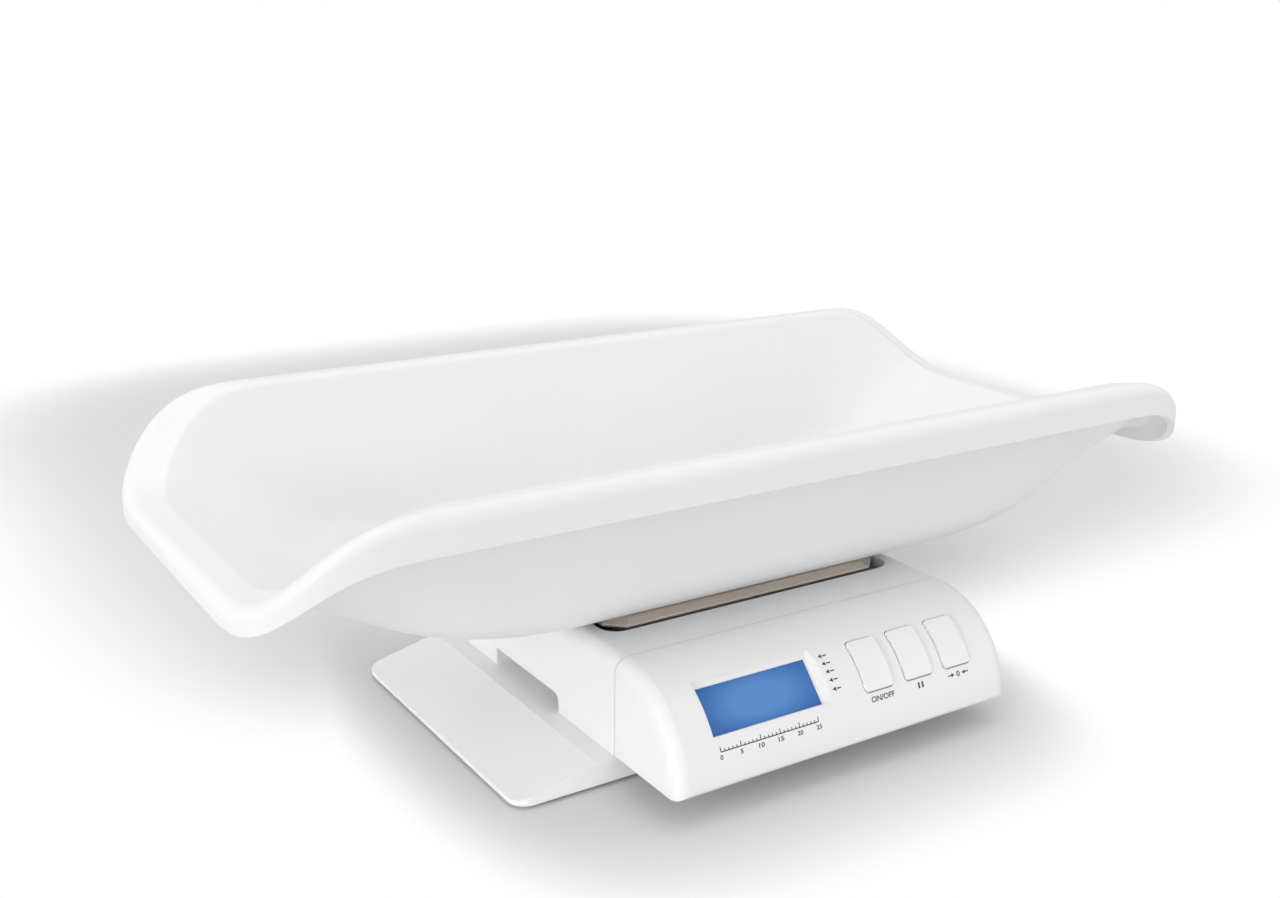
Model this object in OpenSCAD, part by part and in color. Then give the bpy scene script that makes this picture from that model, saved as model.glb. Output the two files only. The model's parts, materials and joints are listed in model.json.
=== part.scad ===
// Digital baby scale: rolled-lip tray on a low bench scale with a stabiliser plinth.
// Millimetres. Z up, floor at z = 0. X runs along the tray, -Y faces the user.

/* [Tray] */
// overall length of the tray
tray_len = 600; // [500:5:700]
// overall width of the tray
tray_width = 282.4; // [230:1:330]
// height of the long rims above the floor
side_rim_z = 176.6; // [150:0.5:210]
// height of the low end rims above the floor
end_rim_z = 131; // [110:0.5:170]
// wall thickness of the tray
tray_wall = 3; // [2:0.25:5]
// drop of the rolled lip on the long sides
side_drop = 19.4; // [10:0.5:30]
// drop of the rolled lip on the ends
end_drop = 11.4; // [8:0.5:25]
// run of each long wall, from the flat floor to the rim
side_run = 82.6; // [60:0.2:100]
// run of each end ramp, from the flat floor to the rim
end_run = 167; // [120:1:220]
// radius between floor and long wall
side_foot_r = 39; // [10:1:50]
// radius between floor and end ramp
end_foot_r = 190; // [60:1:210]
// crown radius of the lip on the long sides
side_lip_r = 7.2; // [4:0.5:12]
// crown radius of the lip on the ends
end_lip_r = 6.8; // [4:0.5:14]
// flat width on top of the lip on the long sides
side_lip_flat = 4.7; // [0:0.1:10]
// flat width on top of the lip on the ends
end_lip_flat = 10.5; // [0:0.1:16]
// radius between wall and lip
lip_in_r = 6; // [5:0.5:10]
// plan radius of the rim at the corners
rim_corner_r = 80; // [40:1:100]
// plan radius of the floor at the corners
floor_corner_r = 66; // [30:1:80]

/* [Scale body] */
// width of the scale body
body_w = 224; // [180:1:260]
// top face of the scale body above the floor
body_top_z = 69.8; // [60:0.2:90]
// seam between body and console, forward of the load axis
seam_d = 105.7; // [90:0.1:130]
// rear face of the body, behind the load axis
back_d = 84; // [70:0.5:110]
// wall thickness of the body mouldings
body_wall = 2.6; // [1.8:0.1:4]
// radius of the upper edges of the body
edge_r = 8; // [3:0.5:14]
// height of the finger notches in the side skirts
notch_h = 10.4; // [6:0.2:16]

/* [Console] */
// radius of the curved console face
console_r = 53.8; // [46:0.1:60]
// tilt of the display and buttons from level
face_tilt = 47; // [30:1:60]
// length of the display window
lcd_w = 69.2; // [50:0.1:80]
// height of the display window
lcd_h = 25.2; // [15:0.1:30]
// width of a push button
button_w = 19.4; // [12:0.2:25]
// height of a push button
button_h = 28.4; // [15:0.2:34]
// pitch of the push buttons
button_pitch = 27.9; // [22:0.1:30]
// height the buttons stand proud
button_proud = 1.2; // [0.3:0.1:2]

/* [Plinth] */
// width of the plinth
plinth_w = 338.4; // [280:1:400]
// top face of the plinth above the floor
plinth_z = 15.5; // [12:0.2:24]
// width of the flat middle of the plinth
plinth_flat_w = 247; // [230:1:280]
// height of the plinth's long outer edge
plinth_edge_z = 4.6; // [3.5:0.1:8]

/* [Platform] */
// housing between the platform's slot and the sides
slot_side = 13.2; // [10:0.1:25]
// housing between the slot and the seam
slot_front = 27.4; // [20:0.1:40]
// housing between the slot and the rear face
slot_back = 15.3; // [12:0.1:30]
// gap between platform and slot
pan_gap = 4.3; // [2:0.1:6]
// top face of the platform above the floor
pan_z = 72.4; // [68:0.2:95]

/* [Hidden] */
$fn = 64;

// clearances
thread_gap = 0.05;   // between a screw and the hole it is driven into
fit = 0.25;          // between nested mouldings
button_gap = 0.45;   // round each push button
slip = 0.3;          // round the battery door
foot_show = 2;       // feet standing below the plinth
seam_cut = 0.5;      // width of the groove on each side of the seam
seam_deep = 0.5;     // depth of that groove

// front to back placing: the footprint is centred on y = 0
console_cy = -seam_d - 3.9;
front_d = -console_cy + console_r;
axis_y = (front_d - tray_width / 2) / 2;

// screw shank radii
small_r = 1.4;
fix_r = 1.5;
board_r = 1;
cell_r = 2.9;

// plate and stack heights
floor_z = plinth_z + body_wall;
rib_z = floor_z + 4;
plate_t = 2.5;
plate_z = rib_z + plate_t;
block_t = 4;
beam_z = plate_z + block_t;
beam_h = 22;
beam_l = 130;
beam_w = 30;
beam_top = beam_z + beam_h;
hub_z = beam_top + block_t;
web_z = hub_z + 6;
pad_t = 1.2;
sheet = 1.2;
carrier_top = pan_z - sheet - pad_t;
tray_z = pan_z + 1;
side_flat = tray_width / 2 - side_run;
end_flat = tray_len / 2 - end_run;
slot_l = body_w - 2 * slot_side;
slot_d = seam_d - slot_front + back_d - slot_back;
pan_len = slot_l - 2 * pan_gap;
pan_depth = slot_d - 2 * pan_gap;
pan_y = (back_d - slot_back - seam_d + slot_front) / 2;
slot_z = body_top_z - 10.8;
stop_gap = 1.1;

// load cell, its plate and the places they are fixed at
cell_in = beam_l / 2 - 7;
cell_out = beam_l / 2 - 22;
end_l = 30;
plate_l = body_w / 2 - 22.5;
plate_d = 44;
rest_x = plate_l - 6;
rest_y = plate_d - 6;
stop_x = plate_l - 12;
stop_y = plate_d - 14;

// console frame: axis of the curved face, level with the console's lower edge
console_z = body_top_z - console_r;
console_b = plinth_z + 0.2;
console_in = console_r - body_wall;
lens_t = 1.5;
rim_d = console_r - 4;     // bottom of the recess round the window
lens_d = rim_d - 0.6;
face_side = (body_w - lcd_w - 2 * button_pitch - button_w) / 3;
lens_x = -body_w / 2 + face_side + lcd_w / 2;
board_d = console_r - 14.5;
board_t = 1.6;
board_lo = -11;
board_hi = 24;
button_x0 = body_w / 2 - face_side + 0.7 - button_w / 2 - 2 * button_pitch;
board_x0 = -body_w / 2 + face_side - 14;
board_x1 = body_w / 2 - face_side + 11;
button_d = board_d + 5.4;
press = 0.8;
switch_top = button_d - 1 - press - 0.1;
door_t = 2;

// batteries, four of the common small size, and their bay
cell_d = 14.2;
cell_l = 50.4;
box_y1 = console_cy - 2.6;
box_y0 = box_y1 - 2 * cell_d - 4.6;
box_top = console_b + door_t + cell_d + 1.2;
box_l = 2 * cell_l + 11.2;
tab_x = box_l * 0.31;

// screws and inlet that join or enter the console
join_x = body_w / 2 - 32;
join_z = plinth_z + 14.4;
inlet_y = console_cy - 23.1;
inlet_z = console_b + 13.2;
lead_x = -body_w / 2 + 72;
lead_z = body_top_z - 27;

module at_axis() {
    translate([0, axis_y, 0]) children();
}

// point on the tilted face's frame
function face_pt(x, d, s) = [x, console_cy - d * sin(face_tilt) + s * cos(face_tilt),
    console_z + d * cos(face_tilt) + s * sin(face_tilt)];

// place on the tilted face: x across, d outward from the face's axis, s up the slope
module on_face(x, d, s) {
    translate([x, console_cy, console_z])
        rotate([face_tilt, 0, 0])
            translate([0, s, d]) children();
}

module both_x(x) {
    for (k = [-1, 1]) translate([k * x, 0, 0]) children();
}

module slab(x0, x1, y0, y1, z0, z1) {
    translate([x0, y0, z0]) cube([x1 - x0, y1 - y0, z1 - z0]);
}

module round_rect(w, h, r) {
    square([w - 2 * r, h], center = true);
    square([w, h - 2 * r], center = true);
    for (i = [-1, 1], j = [-1, 1])
        translate([i * (w / 2 - r), j * (h / 2 - r)]) circle(r);
}

// rectangle with its corners cut off
function slant_rect(w, h, c) = [[-w / 2 + c, -h / 2], [w / 2 - c, -h / 2], [w / 2, -h / 2 + c],
    [w / 2, h / 2 - c], [w / 2 - c, h / 2], [-w / 2 + c, h / 2], [-w / 2, h / 2 - c], [-w / 2, -h / 2 + c]];

// solid between two outlines of the same number of points
module prismoid(a, za, b, zb) {
    n = len(a);
    polyhedron(points = concat([for (p = a) [p[0], p[1], za]], [for (p = b) [p[0], p[1], zb]]),
        faces = concat([[for (i = [0 : n - 1]) i]], [[for (i = [0 : n - 1]) 2 * n - 1 - i]],
            [for (i = [0 : n - 1]) [i, i + n, (i + 1) % n + n, (i + 1) % n]]));
}

// screw standing on its tip side up: head below z = 0, shank above
module screw(r, l, head_r, head_h) {
    difference() {
        union() {
            translate([0, 0, -head_h / 2]) cylinder(r = r, h = l + head_h / 2);
            translate([0, 0, -head_h]) cylinder(r = head_r, h = head_h);
        }
        for (a = [0, 90])
            rotate([0, 0, a])
                translate([-head_r * 0.6, -0.4, -head_h - 0.1]) cube([head_r * 1.2, 0.8, head_h * 0.5]);
    }
}

// ---------------------------------------------------------------- plinth
foot_x = plinth_w / 2 - 22;
foot_y = [-seam_d + 18, back_d - 18];
stand_x = body_w / 2 - 30;
stand_y = [-seam_d + 20, back_d - 22];
fix_x = body_w / 2 - 50;
fix_y = [-seam_d + 28, back_d - 26];
rib_x = plinth_w / 7.5;
rib_y = [for (k = [0 : 4]) -seam_d + 24 + k * (seam_d + back_d - 46) / 4];

module plinth_section(in) {
    h = plinth_w / 2;
    f = plinth_flat_w / 2;
    polygon([[-h + in, foot_show], [-h + in, plinth_edge_z - in * 0.4], [-f, plinth_z - in],
        [f, plinth_z - in], [h - in, plinth_edge_z - in * 0.4], [h - in, foot_show]]);
}

module plinth_body(in) {
    y0 = -seam_d - 0.5 + in;
    y1 = back_d - in;
    intersection() {
        translate([0, y1, 0]) rotate([90, 0, 0])
            linear_extrude(y1 - y0) plinth_section(in);
        translate([0, (y0 + y1) / 2, 0])
            linear_extrude(plinth_z + 1) round_rect(plinth_w - 2 * in, y1 - y0, 10 - in);
    }
}

module plinth() {
    w = body_wall;
    color("white") at_axis() difference() {
        union() {
            difference() {
                plinth_body(0);
                translate([0, 0, -0.01]) plinth_body(w);
            }
            intersection() {
                plinth_body(0.5);
                union() {
                    for (k = [-3 : 3])
                        slab(k * rib_x - 1, k * rib_x + 1,
                            -seam_d + 2, back_d - 2, foot_show + 1.5, plinth_z - 1);
                    for (y = rib_y)
                        slab(-plinth_w / 2 + 2, plinth_w / 2 - 2,
                            y - 1, y + 1, foot_show + 1.5, plinth_z - 1);
                    for (y = foot_y) both_x(foot_x)
                        translate([0, y, foot_show]) cylinder(r = 11, h = plinth_z);
                    for (y = stand_y) both_x(stand_x)
                        translate([0, y, plinth_z - 6]) cylinder(r = 11, h = 5);
                    for (y = fix_y) both_x(fix_x)
                        translate([0, y, plinth_z - 6]) cylinder(r = 6, h = 5);
                }
            }
        }
        for (y = foot_y) both_x(foot_x)
            translate([0, y, -1]) cylinder(r = 8.6, h = foot_show + 2.5);
        for (y = stand_y) both_x(stand_x)
            translate([0, y, plinth_z - 1.2]) cylinder(r = 9, h = 3);
        for (y = fix_y) both_x(fix_x)
            translate([0, y, 0]) cylinder(r = 1.8, h = 20);
        for (y = fix_y) both_x(fix_x)
            translate([0, y, 0]) cylinder(r = 3.6, h = plinth_z - 4);
    }
}

module plinth_feet() {
    color("dimgray") at_axis() for (y = foot_y) both_x(foot_x) translate([0, y, 0]) {
        cylinder(r1 = 7.9, r2 = 8.4, h = 1.2);
        translate([0, 0, 1.2]) cylinder(r = 8.4, h = foot_show + 0.3);
    }
}

module plinth_screws() {
    color("silver") at_axis() for (y = fix_y) both_x(fix_x)
        translate([0, y, plinth_z - 4]) screw(fix_r, 11, 3.2, 2);
}

// ---------------------------------------------------------------- scale body
notch_y0 = -seam_d + 58;
notch_y1 = notch_y0 + 72;
pocket_in = 18;
post_in = 9;
base_rib_x = body_w / 7;
base_rib_y = plate_d * 0.8;
post_xy = [for (y = [-seam_d + 11.7, back_d - 9], k = [-1 : 1]) [k * (body_w / 2 - post_in), y]];
rest_xy = [for (i = [-1, 1], j = [-1, 1]) [i * rest_x, j * rest_y]];

module body_solid(in, z0) {
    w = body_w - 2 * in;
    y0 = -seam_d + (in > 0 ? in : 0);
    y1 = back_d - in;
    top = body_top_z - in;
    r = max(edge_r - in, 0.8);
    intersection() {
        translate([0, y1, 0]) rotate([90, 0, 0]) linear_extrude(y1 - y0) union() {
            translate([-w / 2, z0]) square([w, top - r - z0]);
            translate([-w / 2 + r, z0]) square([w - 2 * r, top - z0]);
            for (k = [-1, 1]) translate([k * (w / 2 - r), top - r]) circle(r);
        }
        translate([-w / 2, 0, 0]) rotate([90, 0, 90]) linear_extrude(w) union() {
            translate([y0, z0]) square([y1 - y0, top - r - z0]);
            translate([y0, z0]) square([y1 - y0 - r, top - z0]);
            translate([y1 - r, top - r]) circle(r);
        }
        linear_extrude(body_top_z + 1) union() {
            translate([-w / 2, y0]) square([w, y1 - y0 - r]);
            translate([-w / 2 + r, y0]) square([w - 2 * r, y1 - y0]);
            for (k = [-1, 1]) translate([k * (w / 2 - r), y1 - r]) circle(r);
        }
    }
}

module finger_pocket(grow, z1) {
    for (k = [0, 1]) mirror([k, 0, 0])
        slab(body_w / 2 - pocket_in - grow, body_w / 2 + 1,
            notch_y0 - grow, notch_y1 + grow, plinth_z - 1, z1 + grow);
}

module finger_void() {
    r = 4;
    z1 = plinth_z + notch_h;
    for (k = [0, 1]) mirror([k, 0, 0])
        translate([body_w / 2 - pocket_in, 0, 0]) rotate([90, 0, 90])
            linear_extrude(pocket_in + 2) union() {
                translate([notch_y0, 0]) square([notch_y1 - notch_y0, z1 - r]);
                translate([notch_y0 + r, 0]) square([notch_y1 - notch_y0 - r, z1]);
                translate([notch_y0 + r, z1 - r]) circle(r);
            }
}

// shadow groove round a shell at the seam between body and console
module seam_groove(y0, y1) {
    e = seam_deep;
    w = body_w / 2;
    difference() {
        slab(-w - 1, w + 1, y0, y1, plinth_z - 1, body_top_z + 1);
        translate([0, y1 + 1, 0]) rotate([90, 0, 0]) linear_extrude(y1 - y0 + 2) {
            r = edge_r - e;
            top = body_top_z - e;
            translate([-w + e, 0]) square([2 * (w - e), top - r]);
            translate([-w + e + r, 0]) square([2 * (w - e - r), top]);
            for (k = [-1, 1]) translate([k * (w - e - r), top - r]) circle(r);
        }
    }
}

module top_housing() {
    w = body_wall;
    color("white") at_axis() difference() {
        union() {
            difference() {
                body_solid(0, plinth_z);
                body_solid(w, plinth_z - 1);
            }
            translate([0, pan_y, slot_z]) linear_extrude(body_top_z - slot_z - 1)
                round_rect(slot_l + 4, slot_d + 4, 13);
            intersection() {
                body_solid(1, plinth_z);
                union() {
                    for (p = post_xy)
                        translate([p[0], p[1], floor_z + 0.4]) cylinder(r = 4.2, h = 60);
                    finger_pocket(2, plinth_z + notch_h);
                }
            }
        }
        translate([0, pan_y, slot_z - 1]) linear_extrude(30) round_rect(slot_l, slot_d, 11);
        finger_void();
        for (p = post_xy)
            translate([p[0], p[1], floor_z]) cylinder(r = small_r + thread_gap, h = 22);
        seam_groove(-seam_d - 1, -seam_d + seam_cut);
        // passage for the leads into the console
        translate([lead_x, -seam_d - 1, lead_z]) rotate([-90, 0, 0]) cylinder(r = 6, h = 6);
        both_x(join_x) translate([0, -seam_d - 1, join_z]) rotate([-90, 0, 0]) cylinder(r = 1.8, h = 6);
    }
}

module base_shell() {
    e = body_wall + fit;
    color("gainsboro") at_axis() difference() {
        union() {
            difference() {
                intersection() {
                    body_solid(e, plinth_z);
                    slab(-body_w, body_w, -seam_d, back_d, plinth_z, floor_z + 6);
                }
                intersection() {
                    body_solid(e + 2, floor_z);
                    slab(-body_w, body_w, -seam_d, back_d, floor_z, 60);
                }
            }
            intersection() {
                body_solid(e + 0.5, plinth_z);
                union() {
                    for (k = [-2 : 2])
                        slab(k * base_rib_x - 1, k * base_rib_x + 1,
                            -seam_d + 3, back_d - 3, plinth_z + 1, rib_z);
                    for (k = [-2 : 1])
                        slab(-body_w / 2, body_w / 2,
                            k * base_rib_y - 1, k * base_rib_y + 1, plinth_z + 1, rib_z);
                    for (p = rest_xy)
                        translate([p[0], p[1], plinth_z + 1]) cylinder(r = 5, h = rib_z - plinth_z - 1);
                    for (p = post_xy)
                        translate([p[0], p[1], plinth_z]) cylinder(r = 4.6, h = body_wall);
                    for (y = fix_y) both_x(fix_x)
                        translate([0, y, plinth_z]) cylinder(r = 5, h = 12);
                    for (y = stand_y) both_x(stand_x)
                        translate([0, y, plinth_z + 1]) cylinder(r = 11, h = 4);
                }
            }
        }
        finger_pocket(2 + fit, plinth_z + notch_h);
        for (p = post_xy) {
            translate([p[0], p[1], 0]) cylinder(r = 1.7, h = 40);
            translate([p[0], p[1], 0]) cylinder(r = 3.1, h = plinth_z + 1.4);
            translate([p[0], p[1], floor_z + 0.2]) cylinder(r = 4.2 + fit, h = 20);
        }
        for (p = rest_xy)
            translate([p[0], p[1], plinth_z + 1.5]) cylinder(r = small_r + thread_gap, h = 20);
        for (y = fix_y) both_x(fix_x)
            translate([0, y, 0]) cylinder(r = fix_r + thread_gap, h = plinth_z + 10);
        for (y = stand_y) both_x(stand_x)
            translate([0, y, 0]) cylinder(r = 9, h = plinth_z + 2);
        // way to the heads of the load cell screws
        for (x = [-cell_in, -cell_out])
            translate([x, 0, 0]) cylinder(r = 6, h = rib_z + 1);
        for (x = [-stop_x, stop_x], y = [-stop_y, stop_y])
            translate([x, y, floor_z]) cylinder(r = 4, h = 20);
    }
}

module scale_feet() {
    color("dimgray") at_axis() for (y = stand_y) both_x(stand_x)
        translate([0, y, plinth_z - 1.2]) cylinder(r = 8.7, h = 3.2);
}

module housing_screws() {
    color("silver") at_axis() for (p = post_xy)
        translate([p[0], p[1], plinth_z + 1.4]) screw(small_r, 14, 2.8, 1.2);
}

// ---------------------------------------------------------------- weighing mechanism
module cell_plate() {
    color("lightsteelblue") at_axis() difference() {
        slab(-plate_l, plate_l, -plate_d, plate_d, rib_z, plate_z);
        for (p = rest_xy) translate([p[0], p[1], 0]) cylinder(r = 1.9, h = 60);
        for (x = [-cell_in, -cell_out]) translate([x, 0, 0]) cylinder(r = 3.2, h = 60);
        for (x = [-stop_x, stop_x], y = [-stop_y, stop_y])
            translate([x, y, 0]) cylinder(r = cell_r + thread_gap, h = 60);
        translate([10, 0, 0]) linear_extrude(60) round_rect(plate_l * 2 / 3, plate_d, 6);
    }
}

module plate_screws() {
    color("silver") at_axis() for (p = rest_xy)
        translate([p[0], p[1], plate_z]) rotate([180, 0, 0]) screw(small_r, 6, 3.2, 1.8);
}

module cell_block() {
    color("silver") at_axis() difference() {
        slab(-beam_l / 2, -beam_l / 2 + end_l, -beam_w / 2, beam_w / 2, plate_z, beam_z);
        for (x = [-cell_in, -cell_out]) translate([x, 0, 0]) cylinder(r = 3.2, h = 60);
    }
}

module load_cell() {
    cz = beam_z + beam_h / 2;
    color("lightgray") at_axis() difference() {
        translate([-beam_l / 2, -beam_w / 2, beam_z]) cube([beam_l, beam_w, beam_h]);
        for (x = [-12, 12])
            translate([x, beam_w, cz]) rotate([90, 0, 0]) cylinder(r = 8.2, h = 2 * beam_w);
        slab(-12, 12, -beam_w, beam_w, cz - 3, cz + 3);
        for (x = [-cell_in, -cell_out])
            translate([x, 0, beam_z - 1]) cylinder(r = cell_r + thread_gap, h = 15);
        for (x = [cell_out, cell_in])
            translate([x, 0, beam_top - 14]) cylinder(r = cell_r + thread_gap, h = 15);
        translate([-(cell_in + cell_out) / 2, 0, beam_z + 8])
            rotate([90, 0, 0]) cylinder(r = 1.8, h = beam_w);
    }
}

module cell_screws() {
    color("silver") at_axis() for (x = [-cell_in, -cell_out])
        translate([x, 0, rib_z]) screw(cell_r, plate_t + block_t + 12, 5, 3.2);
}

module stop_screws() {
    color("silver") at_axis() for (x = [-stop_x, stop_x], y = [-stop_y, stop_y]) {
        translate([x, y, floor_z + 1.5]) cylinder(r = cell_r, h = web_z - stop_gap - floor_z - 1.5);
        translate([x, y, plate_z]) cylinder(r = 5, h = 4.5, $fn = 6);
        translate([x, y, web_z - stop_gap - 4]) cylinder(r = 5, h = 4);
    }
}

module rod(a, b, r) {
    d = b - a;
    l = norm(d);
    translate(a) rotate([0, acos(d[2] / l), atan2(d[1], d[0])]) cylinder(r = r, h = l);
}

module lead(path, r) {
    for (i = [0 : len(path) - 2]) rod(path[i], path[i + 1], r);
    for (i = [0 : len(path) - 1]) translate(path[i]) sphere(r * 1.06);
}

module cell_lead() {
    x0 = -(cell_in + cell_out) / 2;
    color("dimgray") at_axis()
        lead([[x0, -beam_w / 2 + 3, beam_z + 8], [x0, -beam_w / 2 - 11, beam_z + 8],
            [lead_x, -seam_d + 15, lead_z], [lead_x, -seam_d - 6, lead_z],
            face_pt(lens_x + 21, board_d - 11, 18), face_pt(lens_x + 37, board_d - 1.8, 18)], 1.5);
}

module platform_carrier() {
    hx = pan_len / 2 - 12;
    hy = pan_depth / 2 - 12;
    t = 2.4;
    color("gray") at_axis() difference() {
        union() {
            slab(-hx, hx, pan_y - hy, pan_y + hy, web_z, web_z + 2.5);
            slab(beam_l / 2 - 33, beam_l / 2 + 5, -beam_w / 2 - 4, beam_w / 2 + 4, hub_z, web_z + 2);
            for (x = [-hx, -hx * 0.6, -hx * 0.24, hx * 0.24, hx * 0.6, hx - t])
                slab(x, x + t, pan_y - hy, pan_y + hy, web_z + 1, carrier_top);
            for (y = [pan_y - hy, pan_y - hy / 2, pan_y + hy / 2 - t, pan_y + hy - t])
                slab(-hx, hx, y, y + t, web_z + 1, carrier_top);
            for (x = [-stop_x, stop_x], y = [-stop_y, stop_y])
                translate([x, y, web_z]) cylinder(r = 8, h = carrier_top - web_z);
        }
        for (x = [cell_out, cell_in]) translate([x, 0, 0]) cylinder(r = 3.2, h = 100);
        for (x = [cell_out, cell_in]) translate([x, 0, web_z - 2]) cylinder(r = 5.6, h = 100);
        translate([-hx * 0.42, 0, 0]) linear_extrude(100) round_rect(22, 40, 4);
    }
}

module carrier_block() {
    color("silver") at_axis() difference() {
        slab(beam_l / 2 - end_l, beam_l / 2, -beam_w / 2, beam_w / 2, beam_top, hub_z);
        for (x = [cell_out, cell_in]) translate([x, 0, 0]) cylinder(r = 3.2, h = 100);
    }
}

module carrier_screws() {
    color("silver") at_axis() for (x = [cell_out, cell_in])
        translate([x, 0, web_z - 2]) rotate([180, 0, 0]) screw(cell_r, block_t + 4 + 12, 5.2, 4);
}

module pan_pads() {
    color("dimgray") at_axis() for (x = [-stop_x, stop_x], y = [-stop_y, stop_y])
        translate([x, y, carrier_top]) cylinder(r = 7, h = pad_t);
}

module pan_solid(in) {
    side = 5.5;
    bevel_z = pan_z - 2.6;
    skirt_z = bevel_z - 1.4;
    lip = in > 0 ? 1 : 0;
    foot = slant_rect(pan_len - 2 * in, pan_depth - 2 * in, 10);
    crown = slant_rect(pan_len - 2 * side - 2 * in, pan_depth - 2 * side - 2 * in, 8.5);
    prismoid(foot, skirt_z - lip, foot, bevel_z - in * 0.5);
    prismoid(foot, bevel_z - in * 0.5 - 0.01, crown, pan_z - in);
}

module platform_pan() {
    color("tan") at_axis() translate([0, pan_y, 0]) difference() {
        pan_solid(0);
        pan_solid(sheet);
    }
}

// ---------------------------------------------------------------- console
module console_round(in) {
    w = body_w / 2 - in;
    r = console_r - in;
    e = max(edge_r - in, 0.8);
    translate([0, console_cy, console_z]) rotate([0, 90, 0]) rotate_extrude() union() {
        translate([0, -w]) square([r - e, 2 * w]);
        translate([0, -w + e]) square([r, 2 * (w - e)]);
        for (k = [-1, 1]) translate([r - e, k * (w - e)]) circle(e);
    }
}

module console_block(in, back, z0 = console_b) {
    e = 4 - min(in, 3.2);
    y0 = console_cy - console_r + in;
    intersection() {
        console_round(in);
        translate([-body_w / 2, 0, 0]) rotate([90, 0, 90]) linear_extrude(body_w) union() {
            translate([y0 + e, z0]) square([back - y0 - e, 80]);
            translate([y0 - 1, z0 + e]) square([back - y0 + 1, 80]);
            translate([y0 + e, z0 + e]) circle(e);
        }
    }
    // level run between the curved face and the seam
    if (back > console_cy) intersection() {
        translate([0, back, 0]) rotate([90, 0, 0]) linear_extrude(back - console_cy) {
            w = body_w / 2 - in;
            r = max(edge_r - in, 0.8);
            top = console_z + console_r - in;
            translate([-w, z0]) square([2 * w, top - r - z0]);
            translate([-w + r, z0]) square([2 * (w - r), top - z0]);
            for (k = [-1, 1]) translate([k * (w - r), top - r]) circle(r);
        }
        slab(-body_w, body_w, console_cy, back, z0, 100);
    }
}

module face_box(x, w, h, s, d0, d1) {
    on_face(x, d0, s) translate([-w / 2, -h / 2, 0]) cube([w, h, d1 - d0]);
}

// recess round the display window, wide on the right and above
module display_recess() {
    a = lcd_w / 2;
    b = lcd_h / 2;
    h = 8;
    left = 1.2;
    right = 1.4;
    above = 2.4;
    below = 0.4;
    on_face(lens_x, rim_d, 0) polyhedron(
        points = [[-a - left, -b - below, 0], [a + right, -b - below, 0],
            [a + right, b + above, 0], [-a - left, b + above, 0],
            [-a - left - 1, -b - below - 1, h], [a + right + h, -b - below - 1, h],
            [a + right + h, b + above + h, h], [-a - left - 1, b + above + h, h]],
        faces = [[0, 1, 2, 3], [7, 6, 5, 4], [0, 4, 5, 1], [1, 5, 6, 2], [2, 6, 7, 3], [3, 7, 4, 0]]);
}

mid_x = lens_x + (lcd_w + face_side) / 2;
board_post = [for (x = [board_x0 + 5, mid_x, board_x1 - 5], y = [-5, 18]) [x, y]];
foot_post = [for (y = [console_cy - 7, console_cy - 43], k = [-1, 1]) [k * (body_w / 2 - post_in), y]];

module button_prism(k, grow, d0, d1) {
    on_face(button_x0 + k * button_pitch, d0, 0)
        linear_extrude(d1 - d0) round_rect(button_w + 2 * grow, button_h + 2 * grow, 2.2 + grow);
}

module console_shell() {
    back = -seam_d - 0.3;
    color("white") at_axis() difference() {
        union() {
            difference() {
                console_block(0, back);
                console_block(body_wall, back + 1, console_b - 6);
            }
            intersection() {
                console_block(1, back);
                union() {
                    face_box(lens_x, lcd_w + 12, lcd_h + 10, 1, lens_d - 1.5, console_r + 1);
                    for (p = board_post)
                        on_face(p[0], board_d + board_t, p[1]) cylinder(r = 2.6, h = 20);
                    for (p = foot_post)
                        translate([p[0], p[1], console_b + 2.7]) cylinder(r = 3.6, h = 50);
                }
            }
            for (k = [-1, 1])
                slab(k * join_x - 4, k * join_x + 4, back - 5, back, join_z - 5, console_z + console_in);
        }
        display_recess();
        seam_groove(back - seam_cut, back + 1);
        face_box(lens_x, lcd_w, lcd_h, 0, lens_d - 3, lens_d + 2);
        face_box(lens_x, lcd_w + 4.4, lcd_h + 4.4, 0, lens_d - 3, lens_d);
        for (k = [0 : 2]) button_prism(k, button_gap, 40, 60);
        for (p = board_post)
            on_face(p[0], board_d, p[1]) cylinder(r = board_r + thread_gap, h = 7);
        for (p = foot_post)
            translate([p[0], p[1], 0]) cylinder(r = small_r + thread_gap, h = console_b + 14);
        both_x(join_x) translate([0, back + 1, join_z])
            rotate([90, 0, 0]) cylinder(r = small_r + thread_gap, h = 12);
        translate([body_w / 2 - 5, inlet_y, inlet_z]) rotate([0, 90, 0]) cylinder(r = 4.6, h = 10);
    }
}

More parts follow.
